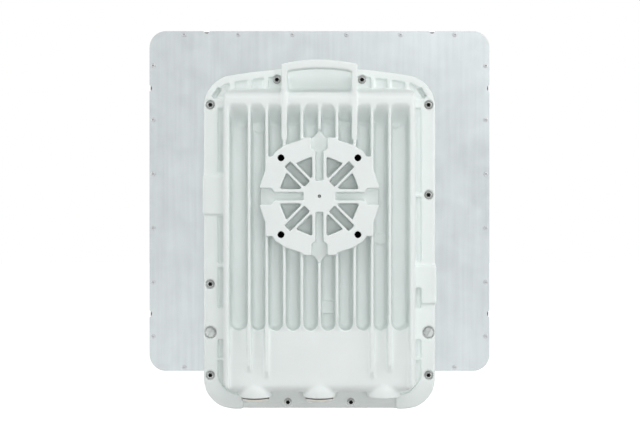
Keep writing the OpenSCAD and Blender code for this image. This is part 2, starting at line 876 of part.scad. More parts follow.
module at_rivets() {
    for (side = [0 : 3], k = [0 : rivets_per_side - 1])
        translate([0, 0, -panel_drop]) rotate([0, 90 * side, 0])
            translate([-panel_half + rivet_margin + k * rivet_pitch, 0, panel_half - rivet_inset]) children();
}

module at_plate_screws() {
    for (x = [-plate_screw_x, plate_screw_x], k = [0 : 2])
        translate([x, 0, plate_screw_z + k * plate_screw_pitch]) children();
    for (x = [-plate_screw_top_x, plate_screw_top_x]) translate([x, 0, body_top + 12]) children();
}

module at_feeds() {
    for (x = [-feed_x, feed_x]) translate([x, 0, feed_z]) children();
}

module at_standoffs() {
    for (x = [-3, -1, 1, 3], z = [-3, -1, 1, 3])
        translate([x * patch_pitch, 0, z * patch_pitch - panel_drop]) children();
}

module panel_2d(inset) {
    low = -panel_half + inset;
    high = panel_half - inset;
    r = max(panel_corner_r - inset, 1);
    round_rect(low, low - panel_drop, high, high - panel_drop, r, r);
}

module antenna_plate() {
    notch_r = (notch_w * notch_w / 4 + notch_depth * notch_depth) / (2 * notch_depth);
    color("silver") difference() {
        slab(front_y, plate_y) panel_2d(0);
        at_rivets() pin_y(rivet_r + running, front_y - cut, plate_y + cut);
        at_plate_screws() pin_y(screw_r + slip / 2, front_y - cut, plate_y + cut);
        at_feeds() pin_y(feed_r + slip, front_y - cut, plate_y + cut);
        at_standoffs() pin_y(standoff_foot_r, front_y - cut, plate_y + cut);
        for (side = [0 : 3], s = [-1, 1]) translate([0, 0, -panel_drop]) rotate([0, 90 * side, 0])
            translate([s * (panel_half - notch_margin), 0, panel_half + notch_r - notch_depth])
                pin_y(notch_r, front_y - cut, plate_y + cut);
    }
}

module plate_screws() {
    color("gray") at_plate_screws() translate([0, 2 * plate_y, 0]) mirror([0, 1, 0])
        machine_screw(plate_y, screw_r, screw_head_r, screw_head_h - 0.6, front_t - 2 + panel_t);
}

module panel_rivets() {
    color("silver") at_rivets() difference() {
        union() {
            pin_y(rivet_r, front_y, rim_y + rim_t);
            pin_y(rivet_head_r, front_y - rivet_head_h, front_y);
            pin_y(rivet_head_r, rim_y + rim_t, rim_y + rim_t + rivet_head_h);
        }
        pin_y(rivet_r * 0.55, front_y - rivet_head_h - cut, front_y + 2);
    }
}

module radome_seal() {
    color("black") difference() {
        slab(plate_y, rim_y) difference() {
            panel_2d(radome_inset);
            panel_2d(radome_inset + rim_w);
        }
        at_rivets() pin_y(rivet_r + running, plate_y - cut, rim_y + cut);
    }
}

// Soft-edged front shell, given how far it lies inside the radome's own outer skin
module dome(skin) {
    hull() {
        slab(rim_y - (skin > 0 ? cut : 0), radome_y - radome_edge)
            panel_2d(radome_inset + rim_w + skin, $fn = hull_fn);
        slab(rim_y, radome_y - radome_edge * 0.3 - skin)
            panel_2d(radome_inset + rim_w + radome_edge * 0.3 + skin, $fn = hull_fn);
        slab(rim_y, radome_y - skin)
            panel_2d(radome_inset + rim_w + radome_edge + skin, $fn = hull_fn);
    }
}

module radome() {
    color("white") difference() {
        union() {
            slab(rim_y, rim_y + rim_t) panel_2d(radome_inset);
            dome(0);
        }
        dome(radome_wall);
        at_rivets() pin_y(rivet_r + running, rim_y - cut, rim_y + rim_t + cut);
    }
}

module standoffs() {
    color("ivory") at_standoffs() difference() {
        union() {
            pin_y(standoff_foot_r, front_y + 0.2, plate_y);
            pin_y(standoff_r, plate_y, patch_y);
        }
        pin_y(board_screw_r, plate_y + cut, patch_y + cut);
    }
}

module patch_board() {
    half = panel_half - radome_inset - rim_w - radome_wall - board_gap;
    color("seagreen") difference() {
        slab(patch_y, patch_y + board_t) round_rect(-half, -half - panel_drop, half, half - panel_drop, 8, 8);
        at_standoffs() pin_y(board_screw_r + slip, patch_y - cut, patch_y + board_t + cut);
        at_feeds() pin_y(feed_pin_r + running, patch_y - cut, patch_y + board_t + cut);
    }
}

module patch_elements() {
    first = -(patch_rows - 1) / 2;
    color("peru") for (i = [0 : patch_rows - 1], k = [0 : patch_rows - 1])
        translate([(first + i) * patch_pitch, 0, (first + k) * patch_pitch - panel_drop])
            slab(patch_y + board_t, patch_y + board_t + patch_t) square(patch_size, center = true);
}

module patch_screws() {
    color("ivory") at_standoffs() translate([0, 2 * (patch_y + board_t), 0]) mirror([0, 1, 0])
        machine_screw(
            patch_y + board_t, board_screw_r - running, patch_screw_head_r, patch_screw_head_h, board_t + 3
        );
}

// Light foam that backs the radome's face and keeps it off the patches
module foam_sheet() {
    half = panel_half - radome_inset - rim_w - radome_wall - radome_edge - board_gap;
    y0 = patch_y + board_t + patch_screw_head_h + slip;
    color("lightyellow") slab(y0, radome_y - radome_wall)
        round_rect(-half, -half - panel_drop, half, half - panel_drop, 8, 8);
}

module feed_connectors() {
    color("goldenrod") at_feeds() {
        pin_y(feed_r - 1, feed_y, tray_y - feed_flange_t);
        pin_y(feed_flange_r, tray_y - feed_flange_t, tray_y);
        pin_y(feed_r, tray_y, patch_y);
        pin_y(feed_pin_r, patch_y - cut, patch_y + board_t + patch_t);
    }
}

// Thin coax from a socket on the filter, round one bend, to the back of a feed connector
module coax_jumper() {
    start_z = filter_top + filter_socket_h;
    bend_x = filter_socket_x + coax_bend;
    translate([filter_socket_x, coax_y, start_z]) cylinder(r = coax_plug_r, h = coax_plug_h);
    translate([filter_socket_x, coax_y, start_z]) cylinder(r = coax_r, h = feed_z - coax_bend - start_z);
    translate([bend_x, coax_y, feed_z - coax_bend]) rotate([90, 0, 0]) rotate([0, 0, 90])
        rotate_extrude(angle = 90) translate([coax_bend, 0]) circle(coax_r);
    translate([bend_x, coax_y, feed_z]) rotate([0, 90, 0]) cylinder(r = coax_r, h = feed_x - bend_x);
    box(
        [feed_x - elbow_half, coax_y - elbow_half, feed_z - elbow_half],
        [feed_x + elbow_half, feed_y, feed_z + elbow_half]
    );
}

module coax_jumper_left() {
    color("black") mirror([1, 0, 0]) coax_jumper();
}

module coax_jumper_right() {
    color("black") coax_jumper();
}

module main_board() {
    color("darkgreen") difference() {
        slab(main_y, main_y + board_t) round_rect(-board_half, main_low, board_half, main_high, bay_r, bay_r);
        at_board_screws() pin_y(board_screw_r + slip, main_y - cut, main_y + board_t + cut);
    }
}

module board_screw(seat, len) {
    translate([0, 2 * seat, 0]) mirror([0, 1, 0]) machine_screw(seat, board_screw_r - running, 2.6, 1.8, len);
}

module main_board_screws() {
    color("silver") at_board_screws() board_screw(main_y + board_t, board_t + post_hole - cut);
}

// Open-bottomed metal can on the cooled face of the main board
module rf_shield(x0, x1, z0, z1) {
    can_t = 0.5;
    difference() {
        box([x0, can_y, z0], [x1, main_y, z1]);
        box([x0 + can_t, can_y + can_t, z0 + can_t], [x1 - can_t, main_y + cut, z1 - can_t]);
    }
}

module rf_shield_left() {
    color("silver") rf_shield(-shield_x - shield_w, -shield_x, shield_z, shield_z + shield_h);
}

module rf_shield_right() {
    color("silver") rf_shield(shield_x, shield_x + shield_w, shield_z, shield_z + shield_h);
}

module processor() {
    color("black")
        box([-chip_half, main_y - chip_t, chip_z - chip_half], [chip_half, main_y, chip_z + chip_half]);
}

module heat_spreader() {
    half = chip_half + 3;
    color("silver") box([-half, can_y, chip_z - half], [half, main_y - chip_t, chip_z + half]);
}

module thermal_pads() {
    color("lightpink") {
        both_sides() box(
            [shield_x + pad_inset, bay_floor, shield_z + pad_inset],
            [shield_x + shield_w - pad_inset, can_y, shield_z + shield_h - pad_inset]
        );
        box([-chip_half, bay_floor, chip_z - chip_half], [chip_half, can_y, chip_z + chip_half]);
        box(
            [module_x + pad_inset, bay_floor, module_z + pad_inset],
            [module_x + module_w - pad_inset, can_y, module_z + module_h - pad_inset]
        );
    }
}

module power_module() {
    color("darkslategray")
        box([module_x, can_y, module_z], [module_x + module_w, main_y, module_z + module_h]);
}

module capacitors() {
    color("royalblue") for (k = [0 : 3])
        translate([-module_x - 8 - k * 10, 0, module_z + 10]) pin_y(4, can_y, main_y);
}

module rf_filter() {
    color("lightsteelblue") difference() {
        box([-filter_half, main_y + board_t, filter_top - filter_h], [filter_half, coax_y + 4, filter_top]);
        for (x = [-filter_half + 6 : 12 : filter_half - 6], z = [filter_top - filter_h + 8, filter_top - 8])
            translate([x, 0, z]) pin_y(2, coax_y + 2.5, coax_y + 5);
    }
}

module filter_sockets() {
    color("goldenrod") for (x = [-filter_socket_x, filter_socket_x]) translate([x, coax_y, filter_top])
        cylinder(r = 2.6, h = filter_socket_h);
}

module port_board() {
    color("darkgreen") difference() {
        slab(port_board_y, port_board_y + board_t)
            round_rect(-board_half, port_board_low, board_half, port_board_high, 4, 4);
        at_port_board_screws() pin_y(board_screw_r + slip, port_board_y - cut, port_board_y + board_t + cut);
    }
}

module port_board_screws() {
    color("silver") at_port_board_screws() board_screw(port_board_y + board_t, board_t + post_hole - cut);
}

module surge_arrestors() {
    arrestor_r = 3;
    arrestor_l = 8;
    color("mistyrose") for (x = [-port_x, 0, port_x], s = [-1, 1])
        translate([x + s * 6.5 - arrestor_l / 2, port_board_y - arrestor_r, port_post_z + 9])
            rotate([0, 90, 0]) cylinder(r = arrestor_r, h = arrestor_l);
}

module line_transformers() {
    color("black") for (x = [-port_x, 0, port_x])
        box([x - 8, port_board_y - 6, port_post_z - 8], [x + 8, port_board_y, port_post_z + 4]);
}

// Eight-way data socket with its mouth towards the cable gland
module data_socket(x) {
    w = 16;
    mouth_w = 11.8;
    mouth_h = 7;
    mouth_depth = 14;
    latch_w = 6;
    latch_h = 2;
    mouth_end = socket_low + mouth_depth;
    mouth_y = port_y + mouth_h / 2;
    difference() {
        box(
            [x - w / 2, port_board_y - socket_h, socket_low],
            [x + w / 2, port_board_y, socket_low + socket_len]
        );
        box([x - mouth_w / 2, mouth_y - mouth_h, socket_low - cut], [x + mouth_w / 2, mouth_y, mouth_end]);
        box(
            [x - latch_w / 2, mouth_y - cut, socket_low - cut],
            [x + latch_w / 2, mouth_y + latch_h, mouth_end]
        );
    }
}

module data_socket_left() {
    color("silver") data_socket(-port_x);
}

module data_socket_middle() {
    color("silver") data_socket(0);
}

module data_socket_right() {
    color("silver") data_socket(port_x);
}

module board_headers() {
    half = ribbon_w / 2 + 2;
    color("black") {
        box(
            [-half, port_board_y + board_t, ribbon_low - header_w / 2 + 0.5],
            [half, port_board_y + board_t + header_h, ribbon_low + header_w / 2 + 0.5]
        );
        box(
            [-half, main_y + board_t, ribbon_high - header_w / 2 - 0.5],
            [half, main_y + board_t + header_h, ribbon_high + header_w / 2 - 0.5]
        );
    }
}

module link_ribbon() {
    color("gray") {
        box(
            [-ribbon_w / 2, port_board_y + board_t + header_h, ribbon_low],
            [ribbon_w / 2, ribbon_y, ribbon_low + 1]
        );
        box([-ribbon_w / 2, ribbon_y - 1, ribbon_low], [ribbon_w / 2, ribbon_y, ribbon_high]);
        box(
            [-ribbon_w / 2, main_y + board_t + header_h, ribbon_high - 1],
            [ribbon_w / 2, ribbon_y, ribbon_high]
        );
    }
}

// Screw-in metal plug for an unused port, with a cross-shaped key recess in its head
module blanking_plug(x) {
    head_z = port_end - plug_seal_t;
    difference() {
        translate([x, port_y, 0]) {
            translate([0, 0, head_z - plug_head_t]) cylinder(r = plug_head_r, h = plug_head_t);
            translate([0, 0, head_z - cut]) cylinder(r = port_r - running, h = plug_shank + cut);
        }
        translate([x, port_y, head_z - plug_head_t - cut]) {
            for (a = [0, 90]) rotate(a) translate([-7, -1.2, 0]) cube([14, 2.4, 1.6 + cut]);
        }
        translate([x, port_y, head_z + 2]) cylinder(r = port_r - 3, h = plug_shank);
    }
}

module plug_seal(x) {
    translate([x, port_y, port_end - plug_seal_t]) difference() {
        cylinder(r = plug_head_r - slip, h = plug_seal_t);
        translate([0, 0, -cut]) cylinder(r = port_r + slip, h = plug_seal_t + 2 * cut);
    }
}

module blanking_plug_left() {
    color("gray") blanking_plug(-port_x);
}

module plug_seal_left() {
    color("black") plug_seal(-port_x);
}

module blanking_plug_middle() {
    color("gray") blanking_plug(0);
}

module plug_seal_middle() {
    color("black") plug_seal(0);
}

module ground_screw() {
    seat = ground_seat - ground_washer_t;
    translate([ground_x, 0, ground_z]) difference() {
        union() {
            translate([0, seat, 0]) rotate([90, 0, 0])
                cylinder(r = ground_head_r, h = ground_head_h, $fn = 6);
            pin_y(ground_r, seat - cut, joint_y - cut);
        }
        box(
            [-ground_head_r, seat - ground_head_h - cut, -0.6],
            [ground_head_r, seat - ground_head_h + 1.2, 0.6]
        );
    }
}

module ground_washer() {
    translate([ground_x, 0, ground_z]) washer(ground_seat, ground_washer_r, ground_r + slip, ground_washer_t);
}

module ground_screw_left() {
    color("dimgray") mirror([1, 0, 0]) ground_screw();
}

module ground_washer_left() {
    color("silver") mirror([1, 0, 0]) ground_washer();
}

module ground_screw_right() {
    color("dimgray") ground_screw();
}

module ground_washer_right() {
    color("silver") ground_washer();
}

rear_housing();
housing_gasket();
front_casting();
flange_screws();
flange_washers();
antenna_plate();
plate_screws();
panel_rivets();
radome_seal();
radome();
standoffs();
patch_board();
patch_elements();
patch_screws();
foam_sheet();
feed_connectors();
coax_jumper_left();
coax_jumper_right();
main_board();
main_board_screws();
rf_shield_left();
rf_shield_right();
processor();
heat_spreader();
thermal_pads();
power_module();
capacitors();
rf_filter();
filter_sockets();
port_board();
port_board_screws();
surge_arrestors();
line_transformers();
data_socket_left();
data_socket_middle();
data_socket_right();
board_headers();
link_ribbon();
blanking_plug_left();
plug_seal_left();
blanking_plug_middle();
plug_seal_middle();
ground_screw_left();
ground_washer_left();
ground_screw_right();
ground_washer_right();
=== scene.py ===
"""Looks of an outdoor flat-panel radio unit, built around its construction frame."""
import json
import math

import bmesh
import bpy
import numpy as np
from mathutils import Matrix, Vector

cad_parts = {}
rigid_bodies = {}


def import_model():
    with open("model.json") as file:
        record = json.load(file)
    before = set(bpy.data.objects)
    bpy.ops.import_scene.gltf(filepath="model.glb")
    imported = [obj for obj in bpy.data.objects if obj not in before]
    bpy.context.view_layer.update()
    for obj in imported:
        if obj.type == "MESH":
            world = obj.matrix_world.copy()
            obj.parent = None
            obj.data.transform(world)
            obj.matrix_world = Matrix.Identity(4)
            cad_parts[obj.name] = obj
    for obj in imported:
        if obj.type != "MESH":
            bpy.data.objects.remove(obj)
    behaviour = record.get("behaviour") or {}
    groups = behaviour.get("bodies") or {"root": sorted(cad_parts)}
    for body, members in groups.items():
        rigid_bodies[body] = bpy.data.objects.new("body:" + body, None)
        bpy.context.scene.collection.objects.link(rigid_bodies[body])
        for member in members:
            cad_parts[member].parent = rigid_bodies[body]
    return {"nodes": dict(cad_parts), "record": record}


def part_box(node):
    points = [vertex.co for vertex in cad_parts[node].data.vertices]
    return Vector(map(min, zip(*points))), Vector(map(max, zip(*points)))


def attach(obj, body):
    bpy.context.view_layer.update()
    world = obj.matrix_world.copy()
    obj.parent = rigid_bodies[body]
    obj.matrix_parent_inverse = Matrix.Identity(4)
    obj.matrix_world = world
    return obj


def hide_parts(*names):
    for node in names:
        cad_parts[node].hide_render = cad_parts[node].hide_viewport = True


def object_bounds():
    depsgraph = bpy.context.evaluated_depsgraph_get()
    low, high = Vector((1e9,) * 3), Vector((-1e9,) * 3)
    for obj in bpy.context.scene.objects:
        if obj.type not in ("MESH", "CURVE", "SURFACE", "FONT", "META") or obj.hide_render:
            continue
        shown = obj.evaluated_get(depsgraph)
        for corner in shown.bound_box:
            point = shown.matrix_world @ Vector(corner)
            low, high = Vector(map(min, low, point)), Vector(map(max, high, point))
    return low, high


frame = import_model()
CAD_LOW, CAD_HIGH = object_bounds()

bl_info = {
    "name": "Flat-Panel Radio Unit",
    "version": (1, 0, 0),
    "blender": (4, 5, 0),
    "location": "3D View > Sidebar > Radio Unit",
    "description": "Builds the castings, plate, hardware and finishes of an outdoor panel radio",
    "category": "Object",
}

MM = 0.001
IN_PLANE = 0.01 * MM                # how near a plane a face or an edge counts as lying in it
STAYS_SHARP = math.radians(35)      # an edge that turns by more than this is shaded as sharp


# ---------------------------------------------------------------- sizes and colours

def length(name, default, description):
    return bpy.props.FloatProperty(name=name, description=description, default=default,
                                   min=0.0, unit="LENGTH", precision=5)


def colour(name, default, description):
    return bpy.props.FloatVectorProperty(name=name, description=description, default=default,
                                         size=3, min=0.0, max=1.0, subtype="COLOR")


def share(name, default, description):
    return bpy.props.FloatProperty(name=name, description=description, default=default,
                                   min=0.0, max=1.0, subtype="FACTOR")


def passes(name, default, most, description):
    return bpy.props.IntProperty(name=name, description=description, default=default,
                                 min=0, max=most)


class CastingSettings(bpy.types.PropertyGroup):
    """Die-cast housing parts and their powder coat"""
    grain: length("Casting grain", 0.0009, "Cell size that the casting's surface is rebuilt at")
    rounding: passes("Edge rounding", 4, 20, "Passes that soften every cast edge")
    crown: passes("Wall crowning", 34, 80, "Passes that round the walls and outer rims")
    gasket_reach: length("Gasket reach", 5.5 * MM, "How far the gasket stands out past the body")
    wall: length("Side wall", 8 * MM, "Thickness of the raised body's side walls")
    rim: length("Rim rounding", 2.4 * MM, "Width of the rounded outer rim of the flange")
    coat: colour("Powder coat", (0.835, 0.885, 0.87), "Colour of the powder coat")
    roughness: share("Coat roughness", 0.42, "Roughness of the powder coat")


class HoleSettings(bpy.types.PropertyGroup):
    """Painted shade inside the castings' holes and the screws' sockets"""
    # the painted shade begins this deep inside each hole, so the hole's lip keeps the coat's colour
    reveal: length("Painted lip", 0.7 * MM, "Depth to which the paint reaches into a threaded hole")
    # near-black painted shade for the insides of the bolt holes, the cable ports, the hub's centre
    # mark and the screws' sockets
    thread: colour("Thread", (0.012, 0.012, 0.012), "Colour of the unpainted threads")


class PlateSettings(bpy.types.PropertyGroup):
    """Antenna back plate and radome"""
    metal: colour("Plate metal", (0.57, 0.61, 0.62), "Colour of the passivated aluminium plate")
    roughness: share("Plate roughness", 0.36, "Roughness of the plate")
    plastic: colour("Radome plastic", (0.79, 0.80, 0.80), "Colour of the radome")


class HardwareSettings(bpy.types.PropertyGroup):
    """Screws, rivets and plugs"""
    steel: colour("Steel", (0.42, 0.42, 0.41), "Colour of the stainless steel screws")
    rivet: colour("Rivet metal", (0.50, 0.51, 0.52), "Colour of the aluminium rivets")
    nickel: colour("Nickel", (0.46, 0.44, 0.40), "Colour of the plated blanking plugs")
    screw_metal: colour("Screw metal", (0.36, 0.38, 0.37), "Colour of the polished flange screws")
    ground_metal: colour("Ground metal", (0.50, 0.53, 0.52), "Colour of the plated ground screws")
    screw_head: length("Screw head height", 2.6 * MM, "Height of the flange screws' heads")
    shank: length("Screw shank radius", 2.0 * MM, "Radius of the flange screws' shanks")
    socket: share("Socket size", 0.60, "Share of the head's radius that the socket takes")
    ground_head: length("Ground head height", 3.2 * MM, "Height of the ground screws' heads")
    ground_shank: length("Ground shank radius", 2.5 * MM, "Radius of the ground screws' shanks")
    rivet_shank: length("Rivet shank radius", 1.6 * MM, "Radius of the rivets' shanks")
    rivet_head: length("Rivet head height", 0.8 * MM, "Height of the rivets' heads")
    plug_head: length("Plug head height", 1.8 * MM, "Height of the blanking plugs' heads")
    plug_shank: length("Plug shank radius", 11.95 * MM, "Radius of the blanking plugs' shanks")


class StageSettings(bpy.types.PropertyGroup):
    """Floor, lamps and camera"""
    floor_gap: length("Floor gap", 0.30, "Height of the held unit above the floor")
    camera_distance: length("Camera distance", 1.151, "Distance from the pad face to the camera")
    camera_height: bpy.props.FloatProperty(
        name="Camera height", description="Height of the camera over the bracket bolts' centre",
        default=-0.0247, unit="LENGTH")
    camera_side: bpy.props.FloatProperty(
        name="Camera side", description="Place of the camera along X",
        default=0.0006, unit="LENGTH")
    lens: bpy.props.FloatProperty(
        name="Lens", description="Focal length on the camera's sensor, in millimetres",
        default=62.2, min=10, max=300)
    ambient: bpy.props.FloatProperty(
        name="Room light", description="Level of the light from all round",
        default=0.17, min=0, max=4)
    key: bpy.props.FloatProperty(
        name="Key light", description="Power in watts that each lamp takes its share of",
        default=11.7, min=0, max=500)


GROUPS = {
    "radio_casting": CastingSettings,
    "radio_holes": HoleSettings,
    "radio_plate": PlateSettings,
    "radio_hardware": HardwareSettings,
    "radio_stage": StageSettings,
}


# ---------------------------------------------------------------- material nodes

class Finish:
    """A procedural material that is put together node by node."""

    def __init__(self, name, base, roughness, metallic=0.0):
        self.material = bpy.data.materials.new(name + "_finish")
        self.material.use_nodes = True
        self.tree = self.material.node_tree
        self.shader = self.tree.nodes["Principled BSDF"]
        self.shader.inputs["Base Color"].default_value = (*base, 1)
        self.shader.inputs["Roughness"].default_value = roughness
        self.shader.inputs["Metallic"].default_value = metallic
        self.base = base
        self.roughness = roughness
        self.place = self.tree.nodes.new("ShaderNodeTexCoord").outputs["Object"]
        self.height = None

    def node(self, kind, inputs=(), **settings):
        made = self.tree.nodes.new("ShaderNode" + kind)
        for key, value in settings.items():
            setattr(made, key, value)
        for key, value in dict(inputs).items():
            if isinstance(value, bpy.types.NodeSocket):
                self.tree.links.new(value, made.inputs[key])
            else:
                made.inputs[key].default_value = value
        return made

    def stretched(self, x, y, z):
        return self.node("Mapping", {"Vector": self.place, "Scale": (x, y, z)}).outputs["Vector"]

    def noise(self, scale, detail=3.0, source=None, distortion=0.0):
        inputs = {"Vector": source or self.place, "Scale": scale, "Detail": detail,
                  "Distortion": distortion}
        return self.node("TexNoise", inputs).outputs["Fac"]

    def cells(self, scale):
        inputs = {"Vector": self.place, "Scale": scale}
        return self.node("TexVoronoi", inputs, feature="F1").outputs["Distance"]

    def spread(self, value, low, high, start=0.0, end=1.0):
        inputs = {"Value": value, "From Min": start, "From Max": end,
                  "To Min": low, "To Max": high}
        return self.node("MapRange", inputs).outputs["Result"]

    def blend(self, factor, first, second):
        made = self.node("Mix", data_type="RGBA", blend_type="MIX", clamp_factor=True)
        for index, value in ((0, factor), (6, first), (7, second)):
            if isinstance(value, bpy.types.NodeSocket):
                self.tree.links.new(value, made.inputs[index])
            else:
                made.inputs[index].default_value = value if index == 0 else (*value, 1)
        return made.outputs[2]

    def tint(self, value, amount, start=0.3, end=0.7):
        """Varies the colour between a darker and a lighter shade of itself."""
        dark = tuple(c * (1 - amount) for c in self.base)
        light = tuple(min(1.0, c * (1 + amount)) for c in self.base)
        self.paint(self.blend(self.spread(value, 0, 1, start, end), dark, light))

    def paint(self, socket):
        self.tree.links.new(socket, self.shader.inputs["Base Color"])

    def wear(self, value, amount):
        """Varies the roughness to both sides of its level."""
        rough = self.spread(value, self.roughness - amount, self.roughness + amount, 0.3, 0.7)
        self.tree.links.new(rough, self.shader.inputs["Roughness"])

    def relief(self, value, depth, strength):
        inputs = {"Height": value, "Distance": depth, "Strength": strength}
        if self.height is not None:
            inputs["Normal"] = self.height
        self.height = self.node("Bump", inputs).outputs["Normal"]
        self.tree.links.new(self.height, self.shader.inputs["Normal"])

    def set(self, **values):
        for key, value in values.items():
            self.shader.inputs[key.replace("_", " ")].default_value = value


def powder_coat(name, base, roughness):
    """Baked powder coat: faint orange peel, fine speckle and slight unevenness."""
    made = Finish(name, base, roughness)
    made.tint(made.noise(28, 4), 0.018)
    made.wear(made.noise(160, 3), 0.05)
    made.relief(made.noise(950, 2), 0.00008, 0.5)
    made.relief(made.noise(240, 2), 0.0001, 0.25)


def passivated_sheet(name, base, roughness):
    """Rolled aluminium sheet with a passivated, faintly mottled surface."""
    made = Finish(name, base, roughness, 1.0)
    rolled = made.stretched(1, 1, 0.04)
    streaks = made.noise(260, 3, rolled)
    blotches = made.noise(46, 5, distortion=0.4)
    grains = made.cells(900)
    both = made.node("Math", {0: streaks, 1: blotches}, operation="ADD").outputs[0]
    made.tint(made.spread(both, 0, 1, 0.7, 1.3), 0.05, 0.0, 1.0)
    made.wear(blotches, 0.05)
    made.relief(grains, 0.00004, 0.3)
    made.relief(streaks, 0.00004, 0.3)


def turned_metal(name, base, roughness, scratch=0.06):
    """Machined metal with fine marks and small stains."""
    made = Finish(name, base, roughness, 1.0)
    made.tint(made.noise(420, 4), scratch)
    made.wear(made.noise(900, 3), 0.08)
    made.relief(made.noise(2600, 2), 0.00003, 0.35)


def moulded_plastic(name, base, roughness, grain=1500):
    """Moulded plastic with an eroded fine texture."""
    made = Finish(name, base, roughness)
    made.tint(made.noise(40, 3), 0.02)
    made.wear(made.noise(500, 2), 0.05)
    made.relief(made.noise(grain, 3), 0.00005, 0.5)


def rubber(name, base, roughness):
    """Silicone rubber with a dusty bloom."""
    made = Finish(name, base, roughness)
    made.tint(made.noise(300, 4), 0.12)
    made.wear(made.noise(700, 2), 0.06)
    made.relief(made.noise(1800, 2), 0.00004, 0.5)
    made.set(Specular_IOR_Level=0.35)


def circuit_board(name, base, roughness):
    """Solder mask over copper tracks."""
    made = Finish(name, base, roughness)
    tracks = made.node("TexBrick", {
        "Vector": made.place, "Scale": 150.0, "Mortar Size": 0.012,
        "Brick Width": 0.7, "Row Height": 0.35,
    }, offset=0.37, squash=1.6).outputs["Fac"]
    lifted = tuple(min(1.0, c * 1.9 + 0.02) for c in base)
    made.paint(made.blend(tracks, base, lifted))
    made.wear(made.noise(600, 2), 0.05)
    made.relief(tracks, 0.00006, 0.6)


def foam(name, base, roughness):
    """Open-cell foam."""
    made = Finish(name, base, roughness)
    pores = made.cells(650)
    made.tint(pores, 0.18, 0.1, 0.8)
    made.wear(pores, 0.04)
    made.relief(pores, 0.0003, 0.7)


def striped_ribbon(name, base, roughness):
    """Flat cable whose conductors show as fine stripes."""
    made = Finish(name, base, roughness)
    stripes = made.node("TexWave", {"Vector": made.place, "Scale": 250.0, "Distortion": 0.0},
                        bands_direction="X").outputs["Fac"]
    made.tint(stripes, 0.25, 0.2, 0.8)
    made.wear(stripes, 0.05)
    made.relief(stripes, 0.0001, 0.6)


def make_materials():
    scene = bpy.context.scene
    casting, plate, hardware = scene.radio_casting, scene.radio_plate, scene.radio_hardware
    for maker, name, base, roughness, *detail in (
        (powder_coat, "powder_coat", casting.coat, casting.roughness),
        (passivated_sheet, "plate_aluminium", plate.metal, plate.roughness),
        (moulded_plastic, "radome_plastic", plate.plastic, 0.45),
        (turned_metal, "steel", hardware.steel, 0.30),
        (turned_metal, "rivet_metal", hardware.rivet, 0.38),
        (turned_metal, "plug_metal", hardware.nickel, 0.22, 0.03),
        (turned_metal, "screw_metal", hardware.screw_metal, 0.24, 0.06),
        (turned_metal, "ground_metal", hardware.ground_metal, 0.38, 0.05),
        # the near-black finish that paints shade into holes, ports, the centre mark and screw
        # sockets
        (turned_metal, "thread", scene.radio_holes.thread, 0.7, 0.3),
        (rubber, "silicone", (0.09, 0.09, 0.095), 0.6),
        (moulded_plastic, "nylon", (0.72, 0.70, 0.64), 0.5, 2200),
        (circuit_board, "circuit_board", (0.012, 0.10, 0.045), 0.35),
        (turned_metal, "copper", (0.72, 0.40, 0.26), 0.32),
        (foam, "foam", (0.70, 0.70, 0.68), 0.9),
        (turned_metal, "gold_plate", (0.83, 0.64, 0.30), 0.25, 0.03),
        (moulded_plastic, "cable_jacket", (0.10, 0.16, 0.34), 0.4, 3000),
        (turned_metal, "tin_plate", (0.68, 0.68, 0.67), 0.28),
        (moulded_plastic, "black_plastic", (0.025, 0.025, 0.027), 0.45),
        (turned_metal, "bare_aluminium", (0.75, 0.76, 0.77), 0.38),
        (rubber, "thermal_pad", (0.36, 0.42, 0.50), 0.7),
        (moulded_plastic, "capacitor_sleeve", (0.05, 0.07, 0.14), 0.35),
        (moulded_plastic, "ceramic", (0.55, 0.49, 0.38), 0.4, 4000),
        (striped_ribbon, "ribbon", (0.36, 0.37, 0.38), 0.5),
    ):
        maker(name, base, roughness, *detail)


def material(slot):
    found = bpy.data.materials.get(slot + "_finish")
    if found is None:
        raise RuntimeError(f"no finish is made for the slot {slot}")
    return found


# ---------------------------------------------------------------- modelling helpers

def deselect():
    if bpy.context.object and bpy.context.object.mode != "OBJECT":
        bpy.ops.object.mode_set(mode="OBJECT")
    for obj in bpy.context.view_layer.objects:
        obj.select_set(False)


def activate(obj):
    deselect()
    obj.select_set(True)
    bpy.context.view_layer.objects.active = obj
    return obj


def apply_transform():
    bpy.ops.object.transform_apply(location=True, rotation=True, scale=True)


def added(name):
    obj = bpy.context.object
    obj.name = name
    obj.data.name = name
    return obj


def copy_of_node(node, name):
    """A merged copy of a construction node, as a start for a finished piece."""
    obj = bpy.data.objects.new(name, frame["nodes"][node].data.copy())
    bpy.context.scene.collection.objects.link(obj)
    obj.data.materials.clear()
    activate(obj)
    bpy.ops.object.mode_set(mode="EDIT")
    bpy.ops.mesh.select_all(action="SELECT")
    bpy.ops.mesh.remove_doubles(threshold=0.000002)
    bpy.ops.object.mode_set(mode="OBJECT")
    return obj


def apply_modifier(obj, kind, **settings):
    activate(obj)
    modifier = obj.modifiers.new(kind.title(), kind)
    for key, value in settings.items():
        setattr(modifier, key, value)
    bpy.ops.object.modifier_apply(modifier=modifier.name)


def triangles(obj):
    obj.data.calc_loop_triangles()
    return len(obj.data.loop_triangles)


def points(obj):
    """The piece's vertices as an array of X, Y, Z."""
    flat = np.empty(len(obj.data.vertices) * 3, np.float32)
    obj.data.vertices.foreach_get("co", flat)
    return flat.reshape(-1, 3)


